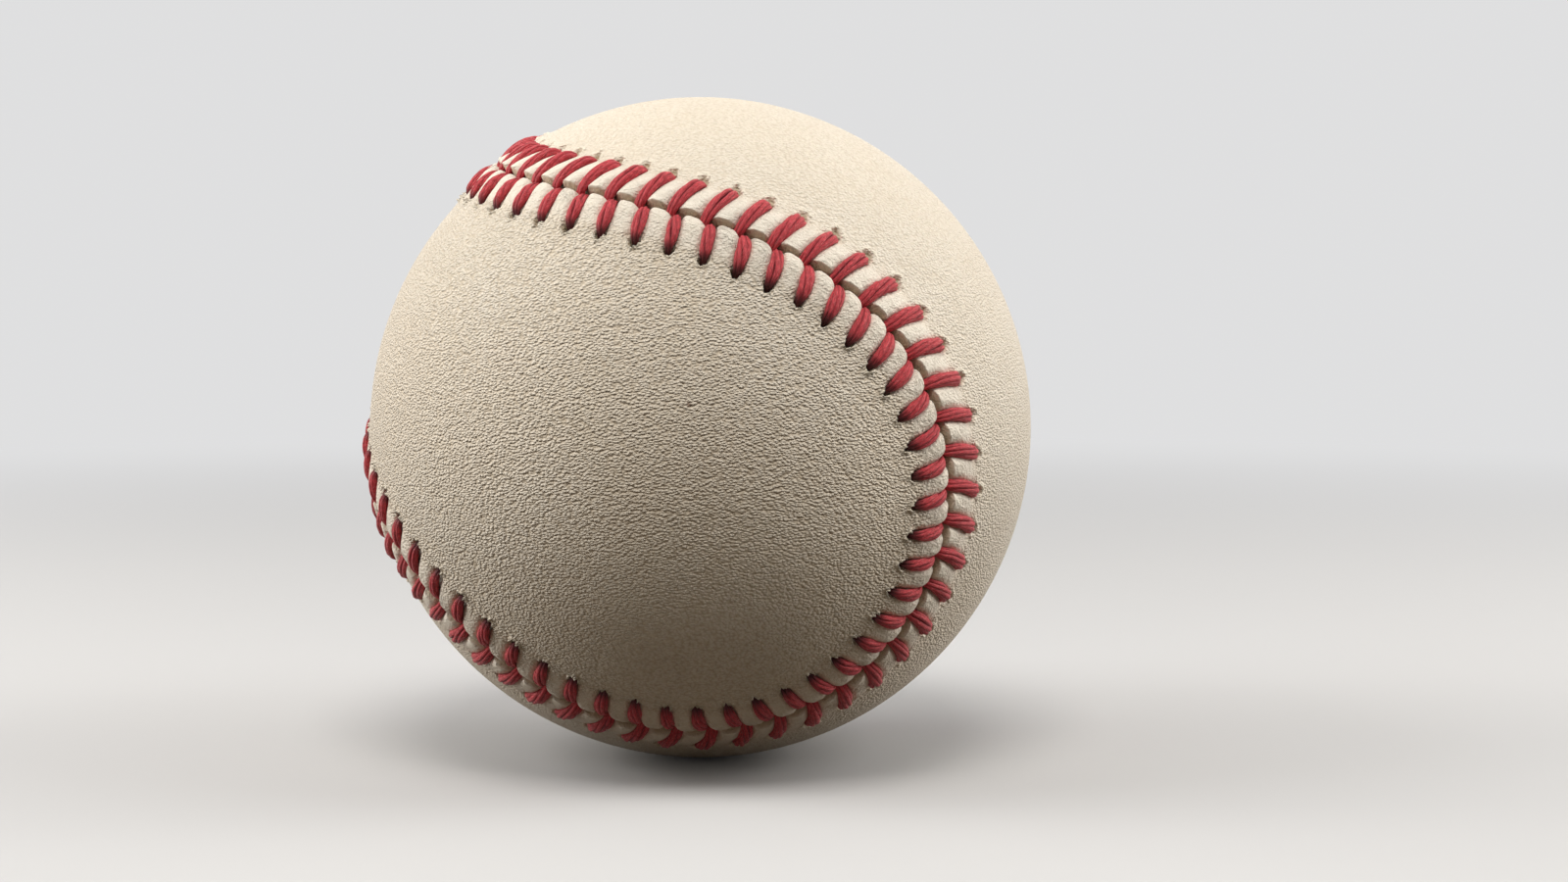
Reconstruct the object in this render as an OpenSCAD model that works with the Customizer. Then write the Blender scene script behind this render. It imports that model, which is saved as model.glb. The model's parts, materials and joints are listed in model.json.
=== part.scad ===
/* [Ball] */
// Diameter over the leather, away from the seam
ball_d = 73.6; // [72:0.1:76]
// How the ball is turned about X, Y and Z as it lies
lie_turn = [123.2, 36.2, 95.3]; // [-180:0.1:180]

/* [Seam] */
// Share of the third harmonic, which makes the seam swing back on itself
swing_share = 0.311; // [0.29:0.001:0.33]
// Share by which the seam rises to either side of its equator
rise_share = 0.706; // [0.67:0.001:0.74]
// Number of double stitches
stitches = 108; // [100:4:112]
// Share of a stitch by which the first one lies past the seam's start
phase_share = 0.37; // [0:0.01:1]
// Width of the gap between the edges of the two panels
seam_gap = 0.4; // [0.2:0.1:0.6]

/* [Cover] */
// Thickness of the leather
leather_t = 1.3; // [1.2:0.05:1.6]
// Height over the ball of the puckered lobes between the stitches
lobe_h = 0.65; // [0.4:0.05:0.9]
// Distance of a lobe's crest from the middle of the seam
lobe_reach = 1.15; // [0.8:0.05:1.5]
// How far a panel's edge draws back where a strand pulls on it
notch_depth = 0.35; // [0:0.05:0.5]
// Width of the band in which the leather sinks to the ball past the stitch holes
border_w = 1.6; // [1.2:0.1:2.5]

/* [Stitches] */
// Diameter of the waxed thread
thread_d = 1.25; // [1:0.05:1.3]
// Distance of the stitch holes from the middle of the seam
hole_reach = 4.8; // [4.4:0.1:5.4]
// How far the holes lie ahead of the place where their two strands meet
hole_lead = 1.2; // [0.8:0.1:1.5]
// Step along the seam between the two strands where they meet
pair_step = 1.36; // [1.32:0.02:1.6]
// Radius of the bow of a strand
bow_r = 5.5; // [5:0.1:7]
// How deep the strands press into the leather
bed_depth = 0.25; // [0.1:0.05:0.3]
// Length of a stitch hole across the seam
slot_l = 1.6; // [1.5:0.1:2]

/* [Windings] */
// Thickness of the fine white finish winding
finish_t = 0.6; // [0.4:0.1:1]
// Thickness of the grey three-ply wool under it
outer_wool_t = 2.2; // [1.8:0.1:2.6]
// Thickness of the white three-ply wool
middle_wool_t = 1.8; // [1.4:0.1:2.2]

/* [Pill] */
// Diameter of the cork and rubber core
cork_d = 20.6; // [19:0.1:22]
// Thickness of the black rubber half shells
black_t = 4; // [3.5:0.1:4.5]
// Thickness of the red rubber half shells
red_t = 2.4; // [2:0.1:2.8]
// Thickness of one gasket in the mouth of a black half shell
gasket_t = 0.6; // [0.4:0.1:1]

/* [Fits] */
// Play between one layer of the ball and the next
layer_play = 0.05; // [0.03:0.01:0.1]
// Play between a strand and the leather round it
stitch_play = 0.05; // [0.03:0.01:0.1]

/* [Hidden] */
smooth = 96;

// Radii of the layers, from the leather inwards and from the core outwards
ball_r = ball_d / 2;
leather_in_r = ball_r - leather_t;
finish_r = leather_in_r - layer_play;
outer_wool_r = finish_r - finish_t - layer_play;
middle_wool_r = outer_wool_r - outer_wool_t - layer_play;
inner_wool_r = middle_wool_r - middle_wool_t - layer_play;
cork_r = cork_d / 2;
black_in_r = cork_r + layer_play;
black_r = black_in_r + black_t;
red_in_r = black_r + layer_play;
red_r = red_in_r + red_t;

// The seam is one closed curve on the ball, the same after half a turn about Z
seam_steps = 720;
seam_step = 360 / seam_steps;
base_share = 1 - swing_share;
function unit(v) = v / norm(v);
function arc_angle(arc) = arc / ball_r * 180 / PI;
function seam_dir(t) = unit([
    base_share * cos(t) + swing_share * cos(3 * t),
    base_share * sin(t) - swing_share * sin(3 * t),
    rise_share * sin(2 * t)]);
seam_runs = [
    for (i = 0, run = 0; i <= seam_steps;
        run = run + norm(seam_dir((i + 1) * seam_step) - seam_dir(i * seam_step)), i = i + 1)
    [run, i * seam_step]];
seam_run = seam_runs[seam_steps][0];
pitch = seam_run * ball_r / stitches;
// Curve angle at a place that is counted in stitches along the seam
function seam_angle(n) =
    let (laps = floor(n / stitches))
    360 * laps + lookup((n / stitches - laps) * seam_run, seam_runs);
// Direction of the place n stitches along the seam and a distance d to its side
function ball_dir(n, d) =
    let (t = seam_angle(n), p = seam_dir(t), q = seam_dir(t + seam_step) - seam_dir(t - seam_step))
    p * cos(arc_angle(d)) + unit(cross(p, q)) * sin(arc_angle(d));
// Direction on the great circle from p to q, a share k of the way
function between(p, q, k) =
    let (whole = acos(p * q))
    (p * sin((1 - k) * whole) + q * sin(k * whole)) / sin(whole);

// Strands: each is a bow over its panel's edge, from the gap to its own hole
tip_reach = seam_gap / 2 + 3 * stitch_play;
mid_reach = (tip_reach + hole_reach) / 2;
slot_from = hole_reach - slot_l / 2;
slot_to = hole_reach + slot_l / 2;
slot_w = thread_d + 6 * stitch_play;
bow_centre_r = ball_r - bed_depth + stitch_play + thread_d / 2 - bow_r;
under_r = bow_r - thread_d / 2 - stitch_play;
// A strand's rounded end at its hole: share of the thread's diameter, and the turn that sinks it
dome_share = 0.94;
dome_turn = 1;
// How far a strand's line leans ahead at a distance d from the seam
function lean(side, d) =
    let (k = min(d, hole_reach) / hole_reach)
    k * hole_lead - (1 - k) * side * pair_step / 2;
// Radius of the leather bed that clears a strand's underside
function bed_radius(side, d) =
    let (slant = (hole_lead + side * pair_step / 2) / hole_reach)
    let (x = (d - mid_reach) * sqrt(1 + slant * slant))
    norm([x, bow_centre_r + sqrt(under_r * under_r - x * x)]);

// Panel border: rows of points at fixed distances from the seam, three columns a stitch.
// The first two columns bound a strand's bed and hole, and the third runs over a lobe.
row_reaches = [seam_gap / 2, lobe_reach, mid_reach, slot_from, slot_to];
lobe_shares = [0.5, 1, 0.85, 0.5, 0.15];
rim_share = 0.1;
border_reach = slot_to + border_w;
rows = len(row_reaches);
slot_row = rows - 2;
columns = [-slot_w / 2, slot_w / 2, pitch / 2];
function row_reach(c, j) = row_reaches[j] + (j == 0 && c < 2 ? notch_depth : 0);
function border_dir(side, k, c, j) =
    let (d = row_reach(c, j))
    ball_dir(k + phase_share + (lean(side, d) + columns[c]) / pitch, side * d);
function outer_radius(side, c, j) =
    c == 2 ? ball_r + lobe_h * lobe_shares[j]
        : j > slot_row ? ball_r + lobe_h * rim_share
        : bed_radius(side, row_reach(c, j));
// The field of a panel lies inside its border: a fan of points from one border ring point
// to the one across the panel's long middle line
field_cells = 8;
field_half = stitches / 2;
function ring_shift(side) = phase_share + 1 / 2 + lean(side, border_reach) / pitch;
function ring_dir(side, k) = ball_dir(k + ring_shift(side), side * border_reach);
function field_start(side) = round((side > 0 ? 3 : 1) * stitches / 8 - ring_shift(side));
function quad(a, b, c, d) = [[a, b, c], [a, c, d]];
function wound(faces, side) = side > 0 ? faces : [for (f = faces) [f[2], f[1], f[0]]];

// One figure-eight panel; side is 1 or -1
module panel(side) {
    last = rows - 1;
    lift_r = leather_in_r / cos(180 / stitches);
    // Points of a stitch: three columns on each face, two feet of the cut edge and two ring points
    inner_rows = [slot_row, last];
    feet = 3 * (rows + len(inner_rows));
    per = feet + 4;
    border_points = [for (k = [0 : stitches - 1]) each concat(
        [for (c = [0 : 2], j = [0 : last]) outer_radius(side, c, j) * border_dir(side, k, c, j)],
        [for (c = [0 : 2], j = inner_rows) lift_r * border_dir(side, k, c, j)],
        [for (c = [0, 1]) lift_r * border_dir(side, k, c, 0)],
        [ball_r * ring_dir(side, k), lift_r * ring_dir(side, k)])];
    // Points across the field, between two ring points of the same row
    start = field_start(side);
    field_points = [for (i = [1 : field_half - 1])
        let (a = ring_dir(side, start - i), b = ring_dir(side, start + i))
        let (field_in_r = leather_in_r / cos(acos(a * b) / field_cells / 2))
        each [for (m = [1 : field_cells - 1])
            let (p = between(a, b, m / field_cells))
            each [ball_r * p, max(field_in_r, lift_r) * p]]];
    function out(k, c, j) = ((k + floor(c / 3)) % stitches) * per + (c % 3) * rows + j;
    function in(k, c, j) = ((k + floor(c / 3)) % stitches) * per + 3 * rows + (c % 3) * len(inner_rows) + j;
    function foot(k, c) = ((k + floor(c / 3)) % stitches) * per + feet + c % 3;
    function ring(k, skin) = ((k + 2 * stitches) % stitches) * per + per - 2 + skin;
    function field(i, m, skin) =
        m == 0 ? ring(start - i, skin)
            : m == field_cells ? ring(start + i, skin)
            : stitches * per + ((i - 1) * (field_cells - 1) + m - 1) * 2 + skin;
    border_faces = [for (k = [0 : stitches - 1]) each concat(
        [for (c = [0 : 2], j = [0 : last - 1]) if (c > 0 || j != slot_row)
            each quad(out(k, c, j), out(k, c + 1, j), out(k, c + 1, j + 1), out(k, c, j + 1))],
        [for (c = [1, 2]) each quad(in(k, c, 1), in(k, c + 1, 1), in(k, c + 1, 0), in(k, c, 0))],
        // The flesh side and the cut edge, with no point of the flesh side under a lobe's tip
        quad(in(k, 0, 0), in(k, 1, 0), foot(k, 1), foot(k, 0)),
        quad(foot(k, 0), foot(k, 1), out(k, 1, 0), out(k, 0, 0)),
        [
            [in(k, 1, 0), in(k, 2, 0), foot(k, 1)],
            [in(k, 2, 0), foot(k, 3), foot(k, 1)],
            [in(k, 2, 0), in(k, 3, 0), foot(k, 3)],
            [foot(k, 1), out(k, 2, 0), out(k, 1, 0)],
            [foot(k, 1), foot(k, 3), out(k, 2, 0)],
            [foot(k, 3), out(k, 3, 0), out(k, 2, 0)]],
        // The walls of the hole
        quad(out(k, 0, slot_row), out(k, 1, slot_row), in(k, 1, 0), in(k, 0, 0)),
        quad(out(k, 1, last), out(k, 0, last), in(k, 0, 1), in(k, 1, 1)),
        quad(out(k, 1, slot_row), out(k, 1, last), in(k, 1, 1), in(k, 1, 0)),
        quad(out(k, 0, last), out(k, 0, slot_row), in(k, 0, 0), in(k, 0, 1)),
        [
            [out(k, 2, last), out(k, 3, last), ring(k, 0)],
            [ring(k, 0), out(k, 3, last), ring(k + 1, 0)],
            [out(k, 3, last), out(k, 4, last), ring(k + 1, 0)],
            [out(k, 4, last), out(k, 5, last), ring(k + 1, 0)],
            [ring(k, 1), in(k, 3, 1), in(k, 2, 1)],
            [ring(k + 1, 1), in(k, 3, 1), ring(k, 1)],
            [ring(k + 1, 1), in(k, 4, 1), in(k, 3, 1)],
            [ring(k + 1, 1), in(k, 5, 1), in(k, 4, 1)]])];
    field_faces = concat(
        [for (i = [1 : field_half - 2], m = [0 : field_cells - 1]) each concat(
            quad(field(i, m, 0), field(i, m + 1, 0), field(i + 1, m + 1, 0), field(i + 1, m, 0)),
            quad(field(i + 1, m, 1), field(i + 1, m + 1, 1), field(i, m + 1, 1), field(i, m, 1)))],
        [for (m = [0 : field_cells - 1], e = [0, 1])
            let (i = e == 0 ? 1 : field_half - 1, tip = e == 0 ? start : start + field_half)
            each [
                e == 0 ? [ring(tip, 0), field(i, m + 1, 0), field(i, m, 0)]
                    : [ring(tip, 0), field(i, m, 0), field(i, m + 1, 0)],
                e == 0 ? [ring(tip, 1), field(i, m, 1), field(i, m + 1, 1)]
                    : [ring(tip, 1), field(i, m + 1, 1), field(i, m, 1)]]]);
    polyhedron(concat(border_points, field_points), wound(concat(border_faces, field_faces), side));
}

// One strand of the thread over the panel on the given side
module strand(k, side) {
    tip = ball_dir(k + phase_share + lean(side, tip_reach) / pitch, side * tip_reach);
    hole = ball_dir(k + phase_share + lean(side, hole_reach) / pitch, side * hole_reach);
    up = unit(tip + hole);
    along = unit(hole - tip);
    axis = cross(along, up);
    centre = bow_centre_r * up;
    half_l = norm(hole - tip) * ball_r / 2;
    swing = asin(half_l / bow_r);
    multmatrix([
        [along[0], up[0], axis[0], centre[0]],
        [along[1], up[1], axis[1], centre[1]],
        [along[2], up[2], axis[2], centre[2]],
        [0, 0, 0, 1]]) {
        rotate([0, 0, 90 - swing])
        rotate_extrude(angle = 2 * swing, $fn = smooth)
        translate([bow_r, 0])
        circle(d = thread_d, $fn = 24);
        translate(bow_r * [sin(swing - dome_turn), cos(swing - dome_turn)])
        sphere(d = dome_share * thread_d, $fn = smooth);
    }
}

// The strands of one needle, which changes sides at each stitch
module needle_run(first_side) {
    for (k = [0 : stitches - 1])
        strand(k, k % 2 == 0 ? first_side : -first_side);
}

module hollow_ball(out_r, in_r) {
    difference() {
        sphere(out_r, $fn = smooth);
        sphere(in_r, $fn = smooth);
    }
}

// The slice of a hollow ball between two heights
module ball_slice(out_r, in_r, from_z, to_z) {
    intersection() {
        hollow_ball(out_r, in_r);
        translate([-2 * out_r, -2 * out_r, from_z])
        cube([4 * out_r, 4 * out_r, to_z - from_z]);
    }
}

module cork_core() {
    color("tan") rotate(lie_turn) sphere(cork_r, $fn = smooth);
}
module black_shell(turn) {
    color("dimgray") rotate(lie_turn) rotate(turn)
    ball_slice(black_r, black_in_r, gasket_t + 1.5 * layer_play, 2 * black_r);
}
module gasket(turn) {
    color("firebrick") rotate(lie_turn) rotate(turn)
    ball_slice(black_r, black_in_r, layer_play / 2, gasket_t + layer_play / 2);
}
module red_shell(turn) {
    color("indianred") rotate(lie_turn) rotate(turn)
    ball_slice(red_r, red_in_r, layer_play / 2, 2 * red_r);
}
module inner_winding() {
    color("darkgray") rotate(lie_turn) hollow_ball(inner_wool_r, red_r + layer_play);
}
module middle_winding() {
    color("whitesmoke") rotate(lie_turn) hollow_ball(middle_wool_r, inner_wool_r + layer_play);
}
module outer_winding() {
    color("gray") rotate(lie_turn) hollow_ball(outer_wool_r, middle_wool_r + layer_play);
}
module finish_winding() {
    color("white") rotate(lie_turn) hollow_ball(finish_r, outer_wool_r + layer_play);
}
module cover_panel(side) {
    color("ivory") rotate(lie_turn) panel(side);
}
module stitch_thread(first_side) {
    color("crimson") rotate(lie_turn) needle_run(first_side);
}

cork_core();
black_shell([0, 0, 0]);  // black_shell_upper
black_shell([180, 0, 0]);  // black_shell_lower
gasket([0, 0, 0]);  // gasket_upper
gasket([180, 0, 0]);  // gasket_lower
red_shell([0, 0, 0]);  // red_shell_upper
red_shell([180, 0, 0]);  // red_shell_lower
inner_winding();
middle_winding();
outer_winding();
finish_winding();
cover_panel(1);  // cover_panel_first
cover_panel(-1);  // cover_panel_second
stitch_thread(1);  // stitch_thread_first
stitch_thread(-1);  // stitch_thread_second
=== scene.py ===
"""Looks of the baseball: leather panels with their stitched seam, the thread, and the layers inside."""

import json
import math
from types import SimpleNamespace

import bpy
import numpy as np
from mathutils import Matrix, Vector


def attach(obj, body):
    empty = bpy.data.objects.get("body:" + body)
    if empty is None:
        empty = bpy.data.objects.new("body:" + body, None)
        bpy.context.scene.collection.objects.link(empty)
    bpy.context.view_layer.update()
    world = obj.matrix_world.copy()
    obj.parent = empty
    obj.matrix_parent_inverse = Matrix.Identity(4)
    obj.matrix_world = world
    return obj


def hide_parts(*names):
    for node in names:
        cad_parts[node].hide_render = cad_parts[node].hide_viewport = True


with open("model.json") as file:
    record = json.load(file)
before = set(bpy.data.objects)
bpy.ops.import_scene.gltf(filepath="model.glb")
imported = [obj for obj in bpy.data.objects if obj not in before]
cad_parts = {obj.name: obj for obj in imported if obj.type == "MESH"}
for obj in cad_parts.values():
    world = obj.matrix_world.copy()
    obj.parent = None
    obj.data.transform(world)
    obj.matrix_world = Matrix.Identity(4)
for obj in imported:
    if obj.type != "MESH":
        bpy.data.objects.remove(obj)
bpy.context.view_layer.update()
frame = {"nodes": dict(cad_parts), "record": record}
MM = 0.001

# Seam and strands, in mm and degrees: the same values as in the solids
BALL_R = 36.8
LIE_TURN = (123.2, 36.2, 95.3)
SWING_SHARE = 0.311
RISE_SHARE = 0.706
STITCHES = 108
PHASE_SHARE = 0.37
SEAM_STEPS = 720
LEATHER_IN_R = 35.5
LOBE_H = 0.65
THREAD_D = 1.25
HOLE_REACH = 4.8
HOLE_LEAD = 1.2
PAIR_STEP = 1.36
BOW_R = 5.5
BED_DEPTH = 0.25
STITCH_PLAY = 0.05
TIP_REACH = 0.35
# How far the two strands of a pair draw together over the gap, and up to which distance from it
DRAW_IN = 0.33
DRAW_REACH = 2.6
MID_REACH = (TIP_REACH + HOLE_REACH) / 2
BOW_CENTRE_R = BALL_R - BED_DEPTH + STITCH_PLAY + THREAD_D / 2 - BOW_R
UNDER_R = BOW_R - THREAD_D / 2 - STITCH_PLAY
# Share of a bow's radius past which it runs on at one height
BOW_END_SHARE = 0.98

rng = np.random.default_rng(7)


def unit(v):
    return v / np.linalg.norm(v, axis=-1, keepdims=True)


def seam_dir(t):
    base = 1 - SWING_SHARE
    return unit(np.stack([
        base * np.cos(t) + SWING_SHARE * np.cos(3 * t),
        base * np.sin(t) - SWING_SHARE * np.sin(3 * t),
        RISE_SHARE * np.sin(2 * t)], -1))


seam_t = np.linspace(0, 2 * math.pi, SEAM_STEPS + 1)
seam_run = np.concatenate([[0], np.cumsum(np.linalg.norm(np.diff(seam_dir(seam_t), axis=0), axis=1))])
PITCH = seam_run[-1] * BALL_R / STITCHES
lie = np.array(
    Matrix.Rotation(math.radians(LIE_TURN[2]), 3, "Z")
    @ Matrix.Rotation(math.radians(LIE_TURN[1]), 3, "Y")
    @ Matrix.Rotation(math.radians(LIE_TURN[0]), 3, "X"))


def ball_dir(n, d):
    """Directions, as the ball lies, of places n stitches along the seam and d mm to its side."""
    laps = np.floor(n / STITCHES)
    t = 2 * math.pi * laps + np.interp((n / STITCHES - laps) * seam_run[-1], seam_run, seam_t)
    step = 2 * math.pi / SEAM_STEPS
    p = seam_dir(t)
    side = unit(np.cross(p, seam_dir(t + step) - seam_dir(t - step)))
    angle = (d / BALL_R)[..., None]
    return (p * np.cos(angle) + side * np.sin(angle)) @ lie.T


def lean(side, d):
    """How far a strand's line leans ahead at a distance d from the seam, in mm."""
    k = np.minimum(d, HOLE_REACH) / HOLE_REACH
    drawn = np.clip(1 - d / DRAW_REACH, 0, 1) ** 2
    return k * HOLE_LEAD - (1 - k) * side * PAIR_STEP / 2 + side * DRAW_IN * drawn


def bow_radius(side, d, r):
    """Radius on the ball of the strand's bow, or of the bed under it."""
    slant = (HOLE_LEAD + side * PAIR_STEP / 2) / HOLE_REACH
    x = (d - MID_REACH) * math.sqrt(1 + slant * slant)
    x = np.clip(x, -BOW_END_SHARE * r, BOW_END_SHARE * r)
    return np.hypot(x, BOW_CENTRE_R + np.sqrt(r * r - x * x))


def ease(x, low, high):
    k = np.clip((x - low) / (high - low), 0, 1)
    return k * k * (3 - 2 * k)


def through(x, xs, ys):
    """Smooth curve through the points xs, ys."""
    xs, ys = np.asarray(xs, float), np.asarray(ys, float)
    slopes = np.gradient(ys, xs)
    i = np.clip(np.searchsorted(xs, x) - 1, 0, len(xs) - 2)
    h = xs[i + 1] - xs[i]
    k = np.clip((x - xs[i]) / h, 0, 1)
    return ((2 * k**3 - 3 * k**2 + 1) * ys[i] + (k**3 - 2 * k**2 + k) * h * slopes[i]
            + (3 * k**2 - 2 * k**3) * ys[i + 1] + (k**3 - k**2) * h * slopes[i + 1])


def new_mesh(name, points, faces, attributes):
    """A smooth mesh object from points in mm, with one value a point for each attribute."""
    mesh = bpy.data.meshes.new(name)
    mesh.from_pydata((np.asarray(points) * MM).tolist(), [], faces)
    mesh.polygons.foreach_set("use_smooth", [True] * len(mesh.polygons))
    for key, values in attributes.items():
        layer = mesh.attributes.new(key, "FLOAT", "POINT")
        layer.data.foreach_set("value", np.asarray(values, np.float32))
    mesh.update()
    piece = bpy.data.objects.new(name, mesh)
    bpy.context.scene.collection.objects.link(piece)
    return piece


# Camera of the photograph
PHOTO_W, PHOTO_H = 1600, 900
LENS, SENSOR_W = 55.06, 36
YAW = math.radians(1.962)
PITCH_DOWN = math.radians(3.825)
CAMERA_PLACE = (0, -0.2695, 0.01648)

camera_data = bpy.data.cameras.new("camera")
camera_data.lens = LENS
camera_data.sensor_width = SENSOR_W
camera_data.clip_start = 0.01
camera_data.clip_end = 20
camera = bpy.data.objects.new("camera", camera_data)
camera.location = CAMERA_PLACE
ahead = Vector((
    math.sin(YAW) * math.cos(PITCH_DOWN),
    math.cos(YAW) * math.cos(PITCH_DOWN),
    -math.sin(PITCH_DOWN)))
camera.rotation_euler = ahead.to_track_quat("-Z", "Y").to_euler()
bpy.context.scene.collection.objects.link(camera)
bpy.context.scene.camera = camera


# Leather panels

# Columns of points over one stitch, as shares of it from the strand's middle line
COLUMN_SHARES = np.array([
    -0.5, -0.427, -0.353, -0.28, -0.24, -0.2, -0.16, -0.12, -0.08, -0.04,
    0, 0.04, 0.08, 0.12, 0.16, 0.2, 0.24, 0.28, 0.353, 0.427])
COLUMNS = len(COLUMN_SHARES)
BORDER_REACH = 7.2
# Rows of points at these distances from a panel's edge, in mm
ROW_STEPS = np.concatenate([
    [0, 0.02, 0.06, 0.12, 0.2, 0.3, 0.42, 0.57, 0.75, 0.95, 1.17, 1.4, 1.65, 1.92, 2.2, 2.5, 2.8, 3.1,
     3.4, 3.65, 3.85], np.arange(4.02, 6.2, 0.17), [6.35, 6.6, 6.9, BORDER_REACH]])
ROWS = len(ROW_STEPS)
WALL_ROWS = 4
RING_STEP = 5
RING_REACH = 8.1
FLESH_REACH = 3.0
FIELD_CELLS = 28

# What the borders of the two panels don't share, in mm and as shares. The first panel's cut edge stands
# upright in the gap, and behind each of its strands the slot is shallow. The second panel's border swells
# into lobes that roll over the gap, and its holes are deep and torn
FIRST = SimpleNamespace(
    side=1, edge=0.38, notch_depth=0.2, push_share=0.4, crown_share=0.3, lobe_start_shares=(1.08, 1.06),
    roll_r=0.1, wall_lean=-0.28, hole_end=5.75, taper=0.62, taper_loss=0.05, rim_width_share=0.26,
    rim_h=0.13, shallow_share=1, fold_share=0.3, grain_share=0.66)
SECOND = SimpleNamespace(
    side=-1, edge=0.02, notch_depth=0.64, push_share=1, crown_share=0.27, lobe_start_shares=(0.38, 0.74),
    roll_r=0.42, wall_lean=0.05, hole_end=5.3, taper=0.56, taper_loss=0.15, rim_width_share=0.2,
    rim_h=0.33, shallow_share=0, fold_share=1, grain_share=1.06)

# Reach of the notch that a strand pulls into the edge: even about the first panel's strands, and longer
# before the second panel's strands than behind them
EVEN_NOTCH_SHARE = 0.2
BEHIND_NOTCH_SHARE, BEFORE_NOTCH_SHARE = 0.17, 0.3
# Differences from lobe to lobe, and the stretch beside a strand that they leave alone
LOBE_SPREAD_SHARE = 0.1
PUSH_SPREAD = 0.06
PLAIN_SHARES = (0.05, 0.3)
# Crown of the leather between two strands: where it starts beside the strand, how full it is, and where the
# border passes into the smooth field
CROWN_START_SHARE = 0.11
CROWN_POWER = 0.6
FADE_REACH = (4.2, 6.2)
LOBE_REACH = (0, 0.5, 1.15, 2.575, 4, 5.0, 5.6, BORDER_REACH)
LOBE_SHARES = (1, 0.8, 0.42, 0.2, 0.12, 0)
BED_SINK = 0.02
FLAT_BED_DEPTH = 0.1
SEWN_WAVE_H = 0.012
# Stitch holes: where they start, how ragged they are, and their depth
HOLE_START = 4.1
HOLE_END_SPREAD = 0.14
TAPER_REACH = (4.5, 5.5)
TAPER_SPREAD = 0.05
HOLE_SHIFT = 0.06
HOLE_WAVE_SHARES = {3: 0.09, 7: 0.07}
HOLE_EDGE_SHARES = (0.76, 1.06)
HOLE_DEPTH = 1.15
RIM_SHARE = 1.28
RIM_REACH = (HOLE_START, 5.0)
FOLD_SPREAD_SHARE = 0.5
FOLD_WAVE_SHARES = (0.5, 0.4)
FOLD_MOST = 1.5
SLOT_FILL, SLOT_WAVE = 0.84, 0.08
SLOT_REACH = (4.45, 4.8)
# Fine wrinkles: how far they lie from a strand's line, how quickly those along the edge give way to those
# along the strand, where they start and end away from the edge and from both, and how much they differ
FLANK_START = 0.45
WRINKLE_BLEND = 2.2
WRINKLE_START, WRINKLE_END, WRINKLE_FADE = (0.05, 0.3), (1.4, 3.3), (0.9, 1.8)
WRINKLE_LEAST_SHARE, WRINKLE_POWER = 0.1, 1.7
SEAM_ZONE_REACH = (2.6, 5.2)
# Bulge of the cut edge between its two faces, and how tan its outer corner is
WALL_BULGE = 0.03
CORNER_CUT_SHARE = 0.5


def strand_notch(form, phase):
    """How far the edge draws back where a strand pulls on it, as a share of the notch's depth."""
    if form is FIRST:
        return np.exp(-((phase / EVEN_NOTCH_SHARE) ** 2))
    behind = phase % 1
    before = 1 - behind
    return np.exp(-((behind / BEHIND_NOTCH_SHARE) ** 2)) + np.exp(-((before / BEFORE_NOTCH_SHARE) ** 2))


def stitch_holes(form, d, phase, ragged):
    """How far each point lies in a hole, and the torn rim round the hole with its folds."""
    x = phase[:, None] * PITCH
    far_end = form.hole_end + HOLE_END_SPREAD * ragged[:, 0]
    hole_mid, hole_half = (HOLE_START + far_end) / 2, (far_end - HOLE_START) / 2
    taper = form.taper - form.taper_loss * ease(d, *TAPER_REACH) + TAPER_SPREAD * ragged[:, 1]
    rho = np.hypot((x - HOLE_SHIFT * ragged[:, 2]) / taper, (d - hole_mid) / hole_half)
    bearing = np.arctan2(d - hole_mid, x)
    for (waves, share), turn in zip(HOLE_WAVE_SHARES.items(), (ragged[:, 3], ragged[:, 4])):
        rho = rho + share * np.sin(waves * bearing + 3 * turn)
    hole = 1 - ease(rho, *HOLE_EDGE_SHARES)
    rim = np.exp(-(((rho - RIM_SHARE) / form.rim_width_share) ** 2)) * ease(d, *RIM_REACH)
    wide, narrow = FOLD_WAVE_SHARES
    folds = (1 + FOLD_SPREAD_SHARE * ragged[:, 4] + wide * np.sin(5 * bearing + 5 * ragged[:, 1])
             + narrow * np.sin(9 * bearing + 4 * ragged[:, 3]))
    return hole, rim, folds


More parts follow.
